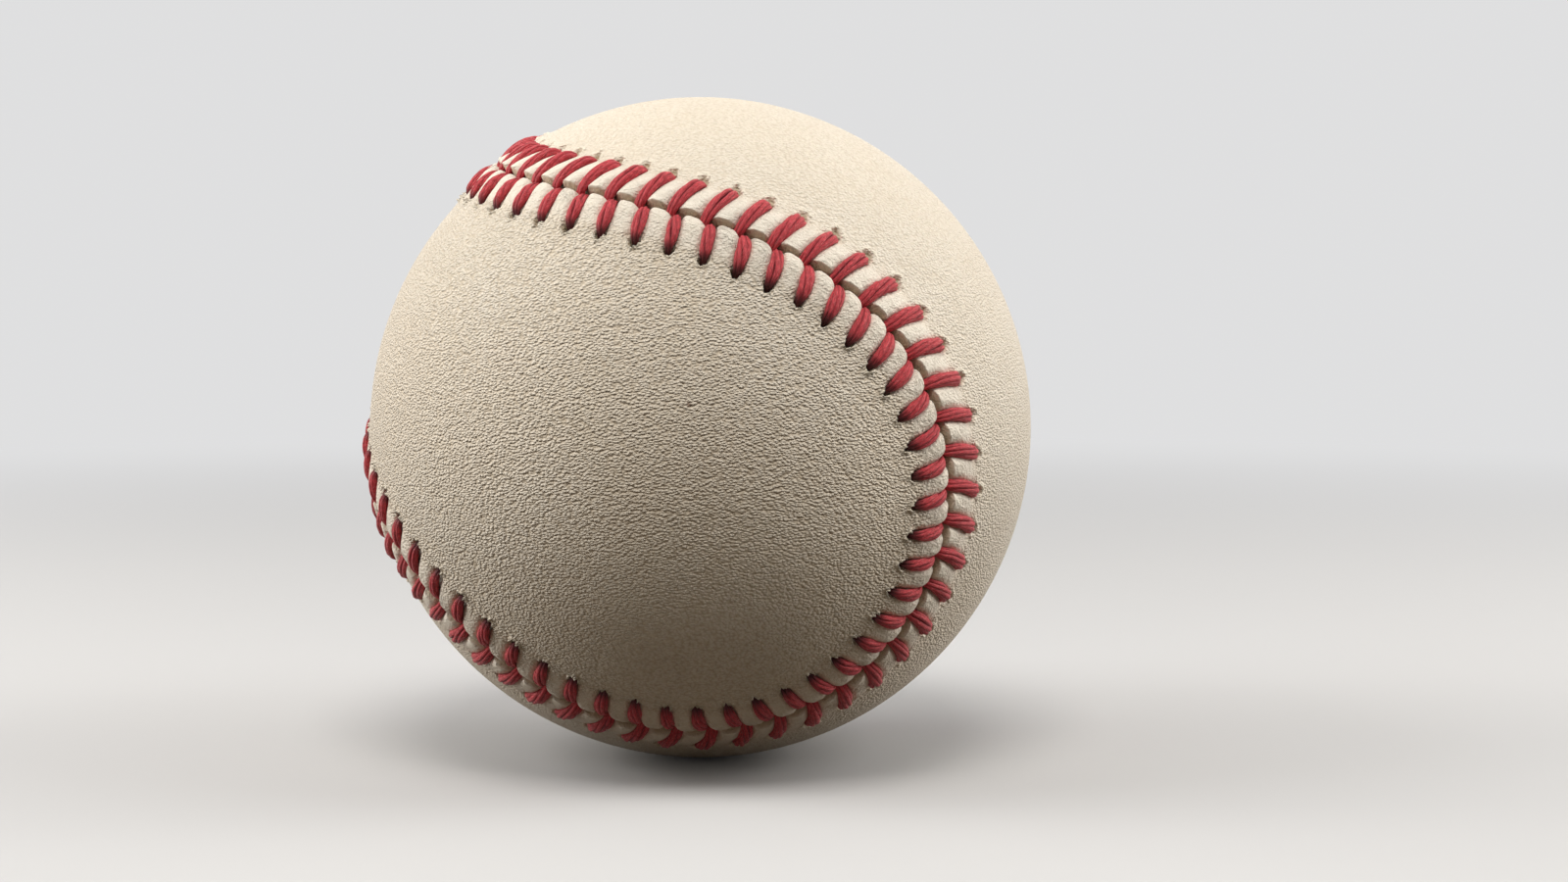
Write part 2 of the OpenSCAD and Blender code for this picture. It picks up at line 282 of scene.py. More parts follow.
def border(form):
    """Points of a panel's puckered border, a column of rows at a time, and their values for the leather."""
    side = form.side
    s = (np.arange(STITCHES)[:, None] + COLUMN_SHARES[None, :]).reshape(-1)
    phase = np.tile(COLUMN_SHARES, STITCHES)
    lobe_no = np.floor(s).astype(int) % STITCHES
    lobe_gain = (1 + LOBE_SPREAD_SHARE * rng.uniform(-1, 1, STITCHES))[lobe_no]
    lobe_push = (PUSH_SPREAD * rng.uniform(-1, 1, STITCHES))[lobe_no]
    blend = ease(np.abs(phase), *PLAIN_SHARES)
    lobe_gain = 1 + (lobe_gain - 1) * blend
    edge = form.edge + form.notch_depth * strand_notch(form, phase) + form.push_share * lobe_push * blend
    e = ROW_STEPS[None, :]
    d = e + edge[:, None] * (1 - e / BORDER_REACH) ** 3
    n = s[:, None] + PHASE_SHARE + lean(side, d) / PITCH
    # Crowned leather between two strands, and the beds under them
    rise = np.clip((np.abs(phase)[:, None] - CROWN_START_SHARE) / form.crown_share, 0, 1)
    crown = np.sin(math.pi / 2 * rise) ** CROWN_POWER
    far_fade = ease(d, *FADE_REACH)
    crown = crown + (1 - crown) * far_fade
    lobe = through(d, LOBE_REACH, form.lobe_start_shares + LOBE_SHARES) * LOBE_H * lobe_gain[:, None]
    bed = bow_radius(side, d, UNDER_R) - BED_SINK
    bed = np.where(d > HOLE_REACH, BALL_R - FLAT_BED_DEPTH, bed)
    r = bed + (BALL_R + lobe - bed) * crown
    # The rounded cut edge
    inside = np.clip(form.roll_r - e, 0, form.roll_r)
    r = r - (form.roll_r - np.sqrt(form.roll_r * form.roll_r - inside * inside))
    # Holes, with rims that stand up and slots that aren't as deep
    ragged = rng.uniform(-1, 1, (STITCHES, 5))[np.round(s).astype(int) % STITCHES][:, :, None]
    hole, rim, folds = stitch_holes(form, d, phase, ragged)
    r = r + form.rim_h * rim * (1 - hole) * folds
    slot = (SLOT_FILL + SLOT_WAVE * np.sin(9 * d + 6 * ragged[:, 0])) * ease(d, *SLOT_REACH)
    depth = HOLE_DEPTH - form.shallow_share * slot
    r = r * (1 - hole) + (BALL_R - depth) * hole
    hole = hole * depth / HOLE_DEPTH
    # Light unevenness of hand-sewn leather
    r = r + SEWN_WAVE_H * np.sin(2.3 * s[:, None] + 3 * d) * (1 - far_fade)
    cut = np.zeros_like(r)
    cut[:, :1] = CORNER_CUT_SHARE
    # Fine wrinkles run round each lobe's edge and along the strand behind it, on some lobes more than others
    flank = np.maximum((1 - phase[:, None] % 1) * PITCH - FLANK_START, 0)
    wrinkle_run = -np.log(np.exp(-WRINKLE_BLEND * e) + np.exp(-WRINKLE_BLEND * flank)) / WRINKLE_BLEND
    lobe_fold = rng.uniform(WRINKLE_LEAST_SHARE, 1, STITCHES) ** WRINKLE_POWER * form.fold_share
    wrinkle_gain = lobe_fold[lobe_no][:, None] * ease(e, *WRINKLE_START) * (1 - ease(e, *WRINKLE_END))
    wrinkle_gain = wrinkle_gain * (1 - ease(wrinkle_run, *WRINKLE_FADE)) * np.sqrt(crown) * (1 - hole)
    layers = {
        "seam_zone": 1 - ease(d, *SEAM_ZONE_REACH),
        "cut_edge": cut,
        "hole_depth": hole,
        "wrinkle_run": wrinkle_run,
        "wrinkle_gain": wrinkle_gain,
        "torn_rim": rim * np.clip(folds, 0, FOLD_MOST) * (1 - hole)}
    return s, edge, r[:, 0], ball_dir(n, side * d) * r[..., None], layers


def panel(name, form):
    """One figure-eight panel: a puckered border, a smooth field, the cut edge and the flesh side."""
    side = form.side
    s, edge, top_r, points, border_layers = border(form)
    total = STITCHES * COLUMNS
    out = np.arange(total * ROWS).reshape(total, ROWS)
    layers = {key: [values.ravel()] for key, values in border_layers.items()}
    blocks = [points.reshape(-1, 3)]
    count = total * ROWS
    grain_side, flesh_side = {}, {"seam_zone": 1, "cut_edge": 1}

    def add(block, values):
        nonlocal count
        blocks.append(block)
        for key, layer in layers.items():
            layer.append(np.full(len(block), float(values.get(key, 0))))
        count += len(block)
        return np.arange(count - len(block), count)

    def way(places, reach):
        reach = reach + np.zeros(len(places))
        return ball_dir(places + PHASE_SHARE + lean(side, reach) / PITCH, side * reach)

    # Cut edge, from the outer face down to the flesh side
    wall = []
    for share in np.arange(1, WALL_ROWS + 1) / WALL_ROWS:
        bulge = WALL_BULGE * math.sin(math.pi * share)
        radius = top_r + (LEATHER_IN_R - top_r) * share
        wall.append(add(way(s, edge - bulge + form.wall_lean * share) * radius[:, None], flesh_side))
    # Coarser rings on both faces, and the field inside them
    ring_s = s.reshape(-1, RING_STEP)[:, 0]
    rings = len(ring_s)
    ring_way = way(ring_s, RING_REACH)
    outer_ring = add(ring_way * BALL_R, grain_side)
    inner_border = add(way(ring_s, FLESH_REACH) * LEATHER_IN_R, flesh_side)
    inner_ring = add(ring_way * LEATHER_IN_R, flesh_side)
    faces = []

    def poly(*ids):
        faces.append(tuple(ids) if side > 0 else tuple(reversed(ids)))

    for i in range(total):
        k = (i + 1) % total
        for j in range(ROWS - 1):
            poly(out[i, j], out[k, j], out[k, j + 1], out[i, j + 1])
        poly(wall[0][i], wall[0][k], out[k, 0], out[i, 0])
        for upper, lower in zip(wall, wall[1:]):
            poly(lower[i], lower[k], upper[k], upper[i])
    for i in range(rings):
        k = (i + 1) % rings
        fine = [(i * RING_STEP + m) % total for m in range(RING_STEP + 1)]
        poly(*(out[f, ROWS - 1] for f in fine), outer_ring[k], outer_ring[i])
        poly(inner_border[i], inner_border[k], *(wall[-1][f] for f in reversed(fine)))
        poly(inner_ring[i], inner_ring[k], inner_border[k], inner_border[i])
    # The field's rows run across the panel, from one end of its long axis to the other
    lead = PHASE_SHARE + lean(side, RING_REACH) / PITCH - 0.5
    axis_n = (3 if side > 0 else 1) * STITCHES / 8 - lead
    start = int(round(axis_n * rings / STITCHES))
    half = rings // 2
    cells = np.arange(1, FIELD_CELLS)[:, None] / FIELD_CELLS
    for ring, radius, values in ((outer_ring, BALL_R, grain_side), (inner_ring, LEATHER_IN_R, flesh_side)):
        grid = [[ring[start % rings]] * (FIELD_CELLS + 1)]
        for i in range(1, half):
            a, b = (start - i) % rings, (start + i) % rings
            whole = math.acos(float(np.clip(ring_way[a] @ ring_way[b], -1, 1)))
            across = ring_way[a] * np.sin((1 - cells) * whole) + ring_way[b] * np.sin(cells * whole)
            grid.append([ring[a], *add(across / math.sin(whole) * radius, values), ring[b]])
        grid.append([ring[(start + half) % rings]] * (FIELD_CELLS + 1))
        for row, following in zip(grid, grid[1:]):
            for m in range(FIELD_CELLS):
                ids = [row[m], row[m + 1], following[m + 1], following[m]]
                if ring is inner_ring:
                    ids.reverse()
                ids = [v for c, v in enumerate(ids) if v != ids[c - 1]]
                if len(ids) > 2:
                    poly(*ids)
    layers["grain_gain"] = [np.full(count, form.grain_share)]
    layers = {key: np.concatenate(values) for key, values in layers.items()}
    return new_mesh(name, np.concatenate(blocks), faces, layers)


# Thread

PLIES = 6
PLY_SIDES = 7
STRAND_RINGS = 19
# Half the width and half the height of a strand, and of one ply in it, in mm
STRAND_A, STRAND_B = 0.74, 0.52
PLY_A, PLY_B = 0.285, 0.265
# How far round the strand its plies turn from end to end, at least and at most, and how they sway and swell
TWIST_RANGE = (1.2, 2.8)
PLY_SWAY = 0.25
PLY_PLACE_SHARE, PLY_SIZE_SHARE, PLY_SWELL_SHARE = 0.12, 0.08, 0.05
# How far apart the streaks of two plies start along the thread, at most
STREAK_APART = 50
# Distance from the strand's middle, as a share of its half width, where the shade painted in the grooves
# between plies ends
GROOVE_SHADE_SHARES = (0.62, 0.95)
# Loose fibres on each strand, and their radius
HAIRS = 7
HAIR_R = 0.018
HAIR_RINGS = 6
HAIR_SIDES = 3
# Where a fibre lies along the strand and how long it is, how far round it lies and how it crosses, and how
# it lifts off
HAIR_PLACE_SHARE, HAIR_LENGTH_SHARE = 0.38, 0.1
HAIR_ROUND_SHARE, HAIR_CROSS = 0.55, 0.6
HAIR_SEAT_SHARE, HAIR_LIFT_SHARE, HAIR_LIFT_SPREAD = 0.97, 0.14, 0.1
HAIR_TIP_SHARE = 0.4
# Differences from strand to strand: its reach, thickness, place, bend and height
REACH_SPREAD, THICK_SPREAD_SHARE, SHIFT_SPREAD, BEND_SPREAD, RISE_SPREAD = 0.06, 0.07, 0.06, 0.08, 0.03
# How a strand runs from the seam to its hole: the share of its length, the distance from the seam, the drop
# under the bow and the share of the full thickness, for the second panel's strands, which tuck in at the
# seam, and for the first's, which lie over them. Then the shade painted on it towards the gap and down its
# hole
RUN_SHARES = [0, 0.05, 0.14, 0.3, 0.5, 0.7, 0.86, 0.94, 1]
TUCKED = {
    "d": [0.0, 0.12, 0.55, 1.4, 2.4, 3.35, 4.15, 4.6, 4.76],
    "drop": [-1.0, -0.6, -0.22, 0, 0, 0, -0.08, -0.42, -1.1],
    "thick": [0.4, 0.52, 0.72, 0.93, 1, 0.93, 0.72, 0.54, 0.42],
    "gap_painted_shade": (0.55, 0.13),
    "hole_painted_shade": (1, 0.74, 0.93)}
LAID_OVER = {
    "d": [-0.55, -0.42, 0.1, 1.15, 2.3, 3.3, 4.15, 4.62, 4.76],
    "drop": [-0.8, -0.35, 0.02, 0.03, 0, 0, -0.02, -0.28, -0.85],
    "thick": [0.6, 0.74, 0.84, 0.98, 1.06, 1.08, 1.08, 1.0, 0.76],
    "gap_painted_shade": (0.4, 0.12),
    "hole_painted_shade": (0.6, 0.93, 1)}


def strand_line(k, side, run):
    """Middle line of a strand, with its directions flat across it and up from the leather."""
    share = np.linspace(0, 1, STRAND_RINGS)
    jitter = rng.uniform(-1, 1, 6)
    d = through(share, RUN_SHARES, run["d"]) + REACH_SPREAD * jitter[0] * share
    drop = through(share, RUN_SHARES, run["drop"])
    thick = through(share, RUN_SHARES, run["thick"]) * (1 + THICK_SPREAD_SHARE * jitter[1])
    shift = SHIFT_SPREAD * jitter[2] + BEND_SPREAD * jitter[3] * np.sin(math.pi * share)
    way = ball_dir(k + PHASE_SHARE + (lean(side, d) + shift) / PITCH, side * d)
    centre = way * (bow_radius(side, d, BOW_R) + drop + RISE_SPREAD * jitter[4])[:, None]
    along = unit(np.gradient(centre, axis=0))
    middle = STRAND_RINGS // 2
    flat = unit(np.cross(along[middle], way[middle]))
    return share, thick, centre, flat, unit(np.cross(flat[None, :], along))


def painted_shade_along(share, run):
    """Shade painted on a strand along its length, darker towards the gap and down its hole, where it dives
    out of sight.
    """
    gap, gap_end = run["gap_painted_shade"]
    hole, hole_start, hole_end = run["hole_painted_shade"]
    return gap * (1 - ease(share, 0, gap_end)) + hole * ease(share, hole_start, hole_end)


def tube_points(mid, flat, rise, half_w, half_h, sides):
    """Rings of points round a middle line."""
    turn = np.arange(sides) * 2 * math.pi / sides
    return (mid[:, None, :] + flat * (np.cos(turn)[None, :] * half_w[:, None])[..., None]
            + rise[:, None, :] * (np.sin(turn)[None, :] * half_h[:, None])[..., None])


def tube_faces(tubes, first, runs):
    """Faces of equal tubes, and the place of each corner round its tube and along it, in mm."""
    count, rings, sides = tubes.shape[:3]
    ids = first + np.arange(count * rings * sides).reshape(count, rings, sides)
    around = np.roll(ids, -1, axis=2)
    walls = np.stack([ids[:, :-1], around[:, :-1], around[:, 1:], ids[:, 1:]], -1).reshape(-1, 4)
    faces = walls.tolist() + ids[:, 0, ::-1].tolist() + ids[:, -1].tolist()
    low = np.repeat(runs[:, :-1, None], sides, 2)
    high = np.repeat(runs[:, 1:, None], sides, 2)
    left = np.broadcast_to(np.arange(sides) / sides, low.shape)
    right = left + 1 / sides
    uv = np.stack([left, low, right, low, right, high, left, high], -1).ravel()
    return faces, np.concatenate([uv, np.zeros(2 * count * sides * 2)])


def twisted_ply(m, spin, twist, share, thick, centre, flat, rise):
    """One ply of a strand: its rings of points, how deep in a groove each lies for the shade painted there,
    and its run in mm.
    """
    loose = rng.uniform(-1, 1, 5)
    angle = spin + 2 * math.pi * m / PLIES + twist * share
    angle = angle + PLY_SWAY * loose[0] * np.sin(math.pi * (1.5 + loose[1]) * share)
    gain = (1 + PLY_PLACE_SHARE * loose[2]) * thick
    mid = (centre + flat * (np.cos(angle) * (STRAND_A - PLY_A) * gain)[:, None]
           + rise * (np.sin(angle) * (STRAND_B - PLY_B) * gain)[:, None])
    size = (1 + PLY_SIZE_SHARE * loose[3] + PLY_SWELL_SHARE * np.sin(7 * share + 3 * loose[4])) * thick
    points = tube_points(mid, flat, rise, PLY_A * size, PLY_B * size, PLY_SIDES)
    off = points - centre[:, None, :]
    wide = off @ flat / (STRAND_A * thick)[:, None]
    high = (off * rise[:, None, :]).sum(-1) / (STRAND_B * thick)[:, None]
    steps = np.linalg.norm(np.diff(mid, axis=0), axis=1)
    run = rng.uniform(0, STREAK_APART) + np.concatenate([[0], np.cumsum(steps)])
    return points, 1 - ease(np.hypot(wide, high), *GROOVE_SHADE_SHARES), run


def loose_fibre(share, thick, centre, flat, rise):
    """A fibre over a strand's back or flank: its rings of points and its places along the strand."""
    loose = rng.uniform(-1, 1, 5)
    spread = np.linspace(-1, 1, HAIR_RINGS)
    at = np.clip(0.5 + HAIR_PLACE_SHARE * loose[0] + HAIR_LENGTH_SHARE * loose[1] * spread, 0, 1)
    angle = math.pi * (0.5 + HAIR_ROUND_SHARE * loose[2]) + HAIR_CROSS * loose[3] * spread
    lift = HAIR_LIFT_SHARE + HAIR_LIFT_SPREAD * loose[4]
    lift = HAIR_SEAT_SHARE + lift * np.linspace(0, 1, HAIR_RINGS) ** 2
    middle, up = (
        np.stack([np.interp(at, share, line[:, c]) for c in range(3)], -1) for line in (centre, rise))
    size = np.interp(at, share, thick) * lift
    mid = (middle + flat * (np.cos(angle) * STRAND_A * size)[:, None]
           + up * (np.sin(angle) * STRAND_B * size)[:, None])
    fine = HAIR_R * np.linspace(1, HAIR_TIP_SHARE, HAIR_RINGS)
    return tube_points(mid, flat, up, fine, fine, HAIR_SIDES), at


def strands(name, first_side):
    """The strands of one needle, each a bundle of twisted plies that dives into the gap and its hole."""
    plies, painted_groove_shades, runs, ply_painted_shade, hairs, hair_painted_shade = [], [], [], [], [], []
    for k in range(STITCHES):
        side = first_side if k % 2 == 0 else -first_side
        strand_run = TUCKED if side < 0 else LAID_OVER
        line = strand_line(k, side, strand_run)
        spin, twist = rng.uniform(0, 2 * math.pi), rng.uniform(*TWIST_RANGE)
        for m in range(PLIES):
            points, painted_groove_shade, run = twisted_ply(m, spin, twist, *line)
            plies.append(points)
            painted_groove_shades.append(painted_groove_shade)
            runs.append(run)
            ply_painted_shade.append(painted_shade_along(line[0], strand_run))
        for m in range(HAIRS):
            points, at = loose_fibre(*line)
            hairs.append(points)
            hair_painted_shade.append(painted_shade_along(at, strand_run))
    plies, hairs = np.array(plies), np.array(hairs)
    hair_runs = np.tile(np.linspace(0, 1, HAIR_RINGS), (len(hairs), 1))
    ply_faces, ply_uv = tube_faces(plies, 0, np.array(runs))
    hair_faces, hair_uv = tube_faces(hairs, plies.size // 3, hair_runs)
    layers = {
        "painted_shade": np.concatenate([np.repeat(ply_painted_shade, PLY_SIDES), np.repeat(hair_painted_shade, HAIR_SIDES)]),
        "fuzz": np.concatenate([np.zeros(plies.size // 3), np.ones(hairs.size // 3)]),
        "painted_groove_shade": np.concatenate([np.ravel(painted_groove_shades), np.zeros(hairs.size // 3)])}
    points = np.concatenate([plies.reshape(-1, 3), hairs.reshape(-1, 3)])
    piece = new_mesh(name, points, ply_faces + hair_faces, layers)
    piece.data.uv_layers.new(name="thread").data.foreach_set("uv", np.concatenate([ply_uv, hair_uv]))
    return piece


panel_first = panel("leather_panel_first", FIRST)
panel_second = panel("leather_panel_second", SECOND)
thread_first = strands("thread_first_needle", 1)
thread_second = strands("thread_second_needle", -1)


# Materials

class Nodes:
    """Short calls to build the nodes of one material, or of the world."""

    def __init__(self, name, owner=None):
        self.owner = owner or bpy.data.materials.new(name)
        self.owner.use_nodes = True
        self.tree = self.owner.node_tree
        self.shader = self.tree.nodes.get("Principled BSDF")

    def link(self, a, b):
        self.tree.links.new(a, b)

    def put(self, socket, value):
        if isinstance(value, bpy.types.NodeSocket):
            self.link(value, socket)
        elif value is not None:
            socket.default_value = value

    def coords(self, kind="Object"):
        return self.tree.nodes.new("ShaderNodeTexCoord").outputs[kind]

    def attribute(self, name):
        node = self.tree.nodes.new("ShaderNodeAttribute")
        node.attribute_name = name
        return node.outputs["Fac"]

    def mapping(self, vector, scale=(1, 1, 1), turn=(0, 0, 0)):
        node = self.tree.nodes.new("ShaderNodeMapping")
        self.put(node.inputs["Vector"], vector)
        node.inputs["Rotation"].default_value = turn
        node.inputs["Scale"].default_value = scale
        return node.outputs["Vector"]

    def noise(self, vector, scale, detail=2, rough=0.5, distort=0, colour=False):
        node = self.tree.nodes.new("ShaderNodeTexNoise")
        self.put(node.inputs["Vector"], vector)
        node.inputs["Scale"].default_value = scale
        node.inputs["Detail"].default_value = detail
        node.inputs["Roughness"].default_value = rough
        node.inputs["Distortion"].default_value = distort
        return node.outputs["Color" if colour else "Fac"]

    def voronoi(self, vector, scale, feature="F1", output="Distance", smooth=None, random=1.0):
        node = self.tree.nodes.new("ShaderNodeTexVoronoi")
        node.feature = feature
        self.put(node.inputs["Vector"], vector)
        node.inputs["Scale"].default_value = scale
        node.inputs["Randomness"].default_value = random
        if smooth is not None:
            node.inputs["Smoothness"].default_value = smooth
        return node.outputs[output]

    def math(self, kind, a, b):
        node = self.tree.nodes.new("ShaderNodeMath")
        node.operation = kind
        self.put(node.inputs[0], a)
        self.put(node.inputs[1], b)
        return node.outputs[0]

    def shown_rays(self):
        """1 for the rays that show the floor and the backdrop in their pale tone."""
        path = self.tree.nodes.new("ShaderNodeLightPath")
        camera_ray, glossy, through_glass = (
            path.outputs["Is %s Ray" % kind] for kind in ("Camera", "Glossy", "Transmission"))
        return self.math("MAXIMUM", self.math("MAXIMUM", camera_ray, glossy), through_glass)

    def vector(self, kind, a, b=None, scale=None):
        node = self.tree.nodes.new("ShaderNodeVectorMath")
        node.operation = kind
        self.put(node.inputs[0], a)
        self.put(node.inputs[1], b)
        if scale is not None:
            self.put(node.inputs["Scale"], scale)
        return node.outputs["Value" if kind in ("DISTANCE", "LENGTH") else "Vector"]

    def ramp(self, value, low, high, start=0, end=1, smooth=True):
        node = self.tree.nodes.new("ShaderNodeMapRange")
        node.interpolation_type = "SMOOTHSTEP" if smooth else "LINEAR"
        self.put(node.inputs["Value"], value)
        node.inputs["From Min"].default_value = low
        node.inputs["From Max"].default_value = high
        node.inputs["To Min"].default_value = start
        node.inputs["To Max"].default_value = end
        return node.outputs["Result"]

    def mix(self, share, a, b):
        node = self.tree.nodes.new("ShaderNodeMix")
        node.data_type = "RGBA"
        self.put(node.inputs[0], share)
        self.put(node.inputs[6], (*a, 1) if isinstance(a, tuple) else a)
        self.put(node.inputs[7], (*b, 1) if isinstance(b, tuple) else b)
        return node.outputs[2]

    def mix_values(self, share, a, b):
        node = self.tree.nodes.new("ShaderNodeMix")
        self.put(node.inputs[0], share)
        self.put(node.inputs[2], a)
        self.put(node.inputs[3], b)
        return node.outputs[0]

    def mix_shaders(self, share, a, b):
        node = self.tree.nodes.new("ShaderNodeMixShader")
        self.link(share, node.inputs[0])
        self.link(a, node.inputs[1])
        self.link(b, node.inputs[2])
        return node.outputs[0]

    def surface(self, kind, colour):
        node = self.tree.nodes.new(kind)
        node.inputs["Color"].default_value = (*colour, 1)
        return node.outputs[0]

    def bump(self, height, depth, strength):
        node = self.tree.nodes.new("ShaderNodeBump")
        node.inputs["Strength"].default_value = strength
        node.inputs["Distance"].default_value = depth
        self.put(node.inputs["Height"], height)
        return node.outputs["Normal"]

    def finish(self, colour, rough, normal=None, specular=0.5, sheen=0.0):
        self.put(self.shader.inputs["Base Color"], colour)
        self.put(self.shader.inputs["Roughness"], rough)
        self.put(self.shader.inputs["Normal"], normal)
        self.shader.inputs["Specular IOR Level"].default_value = specular
        self.shader.inputs["Sheen Weight"].default_value = sheen
        self.shader.inputs["Sheen Roughness"].default_value = 0.6
        return self.owner


# Colours of the leather: its two main tones, darker patches, painted light on the lobes, painted shade in
# the creases, the fleck, the fibres of the cut edge, the torn rims, the fibres in a slot and painted shade
# deep in a hole
CREAM, PALE_CREAM = (0.815, 0.735, 0.618), (0.84, 0.775, 0.672)
PATCH = (0.78, 0.69, 0.56)
LOBE_PAINTED_LIGHT = (0.90, 0.845, 0.745)
CREASE_PAINTED_SHADE = (0.56, 0.46, 0.33)
FLECK_TONE = (0.16, 0.07, 0.03)
EDGE_DARK, EDGE_PALE = (0.52, 0.43, 0.31), (0.82, 0.72, 0.56)
RIM_TONE = (0.90, 0.83, 0.69)
TORN_DARK, TORN_PALE = (0.40, 0.31, 0.20), (0.66, 0.56, 0.41)
DEEP_HOLE_PAINTED_SHADE = (0.05, 0.03, 0.02)
# Grain of the leather: cells, fine grain, wrinkles and patches, in turns a metre, and the grain's height
GRAIN_SCALE, DRIFT_SCALE, FINE_SCALE, WRINKLE_SCALE = 2600, 1100, 6500, 1500
RIPPLE_SCALE, RIPPLE_RUN = 560, 3.4
BROAD_SCALE, PATCH_SCALE, FIBRE_SCALE, FLECK_SCALE = 38, 260, 2600, 3500
DRIFT, GRAIN_H = 0.00035, 0.00033
CELL_STRETCH, CELL_TURN = (1.0, 1.0, 1.6), (0.2, 0.45, 0)
# The small brown fleck near the middle of the second panel: its place on the photograph, and its size in m
FLECK_PIXEL = (703, 413)
FLECK_INNER, FLECK_OUTER, FLECK_RAGGED = 0.0003, 0.00065, 0.0005

# Colours of the thread: its dark and bright fibres, painted highlights along the hairs, worn patches,
# painted shade in the grooves, fuzz, and painted shade where it dives out of sight
FIBRE_DARK, FIBRE_BRIGHT = (0.29, 0.011, 0.019), (0.78, 0.066, 0.088)
HAIR_PAINTED_HIGHLIGHT = (0.97, 0.33, 0.32)
WORN = (0.40, 0.02, 0.034)
GROOVE_PAINTED_SHADE = (0.13, 0.004, 0.01)
FUZZ_TONE = (0.85, 0.36, 0.36)
THREAD_PAINTED_SHADE = (0.03, 0.003, 0.005)
STREAK_STRETCH, HAIR_STRETCH = (9, 1.1, 1), (26, 2.2, 1)
FIBRE_H = 0.00013


def lens_direction(px, py):
    """Direction in the ball's frame of a place on the photograph."""
    focal = PHOTO_W * LENS / SENSOR_W
    right = Vector((math.cos(YAW), -math.sin(YAW), 0))
    up = right.cross(ahead)
    return (ahead + right * ((px - PHOTO_W / 2) / focal) + up * ((PHOTO_H / 2 - py) / focal)).normalized()


def on_ball(px, py):
    """The place on the ball that shows at a place on the photograph, in metres."""
    way = lens_direction(px, py)
    start = Vector(CAMERA_PLACE)
    reach = -start.dot(way)
    miss = (start + way * reach).length
    return start + way * (reach - math.sqrt((BALL_R * MM) ** 2 - miss ** 2))


def leather_grain(m, place, dome, seam, grain_share):
    """Height of the leather's surface: pebbles, fine grain, and wrinkles that grow towards the seam."""
    pebble = m.ramp(dome, 0, 1.1, 1, 0, smooth=False)
    fine = m.noise(place, FINE_SCALE, 2, 0.6)
    grain = m.math("ADD", m.math("MULTIPLY", pebble, grain_share), m.math("MULTIPLY", fine, 0.15))
    wrinkle = m.noise(place, WRINKLE_SCALE, 3, 0.65, 0.6)
    grain = m.math("ADD", grain, m.math("MULTIPLY", wrinkle, m.ramp(seam, 0.2, 0.9, 0.3, 1.0)))
    run = m.tree.nodes.new("ShaderNodeCombineXYZ")
    m.put(run.inputs[0], m.math("MULTIPLY", m.attribute("wrinkle_run"), RIPPLE_RUN))
    winding = m.vector("ADD", run.outputs[0], m.vector("SCALE", place, scale=RIPPLE_SCALE))
    ripple = m.ramp(m.noise(winding, 1.5, 3, 0.6, 0.5), 0.35, 0.62)
    ripple = m.math("MULTIPLY", ripple, m.attribute("wrinkle_gain"))
    return m.math("ADD", grain, m.math("MULTIPLY", ripple, 0.5))


def cowhide():
    """Pale, finely pebbled leather: smoother over the puckered lobes, tan and fibrous at its cut edge, with
    painted light on the lobes and painted shade in its creases and deep in its holes.
    """
    m = Nodes("cowhide")
    place = m.coords()
    seam, cut, hole = m.attribute("seam_zone"), m.attribute("cut_edge"), m.attribute("hole_depth")
    drift = m.vector("SUBTRACT", m.noise(place, DRIFT_SCALE, 2, colour=True), (0.5, 0.5, 0.5))
    bent = m.vector("ADD", place, m.vector("SCALE", drift, scale=DRIFT))
    cells = m.mapping(bent, scale=CELL_STRETCH, turn=CELL_TURN)
    dome = m.voronoi(cells, GRAIN_SCALE, "SMOOTH_F1", smooth=0.25, random=0.85)
    grain_share = m.math("MULTIPLY", m.ramp(seam, 0.1, 0.85, 1, 0.3), m.attribute("grain_gain"))
    grain = leather_grain(m, place, dome, seam, grain_share)
    # Tones of the smooth leather, with painted light on the lobes by the seam and painted shade in the
    # creases
    colour = m.mix(m.ramp(m.noise(place, BROAD_SCALE, 3, 0.55), 0.3, 0.7), CREAM, PALE_CREAM)
    colour = m.mix(m.ramp(m.noise(place, PATCH_SCALE, 4, 0.6), 0.35, 0.75, 0, 0.35), colour, PATCH)
    # Painted light: the leather grows paler over the lobes by the seam
    colour = m.mix(m.ramp(seam, 0.3, 0.9, 0, 0.6), colour, LOBE_PAINTED_LIGHT)
    # Painted shade in the creases between the pebbles
    painted_crease_shade = m.math("MULTIPLY", m.ramp(dome, 0.3, 0.8, 0, 0.6), grain_share)
    colour = m.mix(painted_crease_shade, colour, CREASE_PAINTED_SHADE)
    fleck = m.vector("DISTANCE", place, tuple(on_ball(*FLECK_PIXEL)))
    fleck = m.math("ADD", fleck, m.math("MULTIPLY", m.noise(place, FLECK_SCALE, 2), FLECK_RAGGED))
    colour = m.mix(m.ramp(fleck, FLECK_INNER, FLECK_OUTER, 0.75, 0), colour, FLECK_TONE)
    # The cut edge, the torn rims and the holes, with painted shade deep in the holes
    fibre = m.noise(place, FIBRE_SCALE, 4, 0.7)
    colour = m.mix(m.ramp(cut, 0.3, 0.9), colour, m.mix(fibre, EDGE_DARK, EDGE_PALE))
    colour = m.mix(m.math("MULTIPLY", m.attribute("torn_rim"), 0.6), colour, RIM_TONE)
    colour = m.mix(m.ramp(hole, 0.06, 0.24, 0, 0.92), colour, m.mix(fibre, TORN_DARK, TORN_PALE))
    # Painted shade deep in the holes
    colour = m.mix(m.ramp(hole, 0.6, 0.95, 0, 0.95), colour, DEEP_HOLE_PAINTED_SHADE)
    rough = m.ramp(grain, 0.1, 1.1, 0.62, 0.46, smooth=False)
    return m.finish(colour, rough, m.bump(grain, GRAIN_H, 0.95), specular=0.35, sheen=0.04)


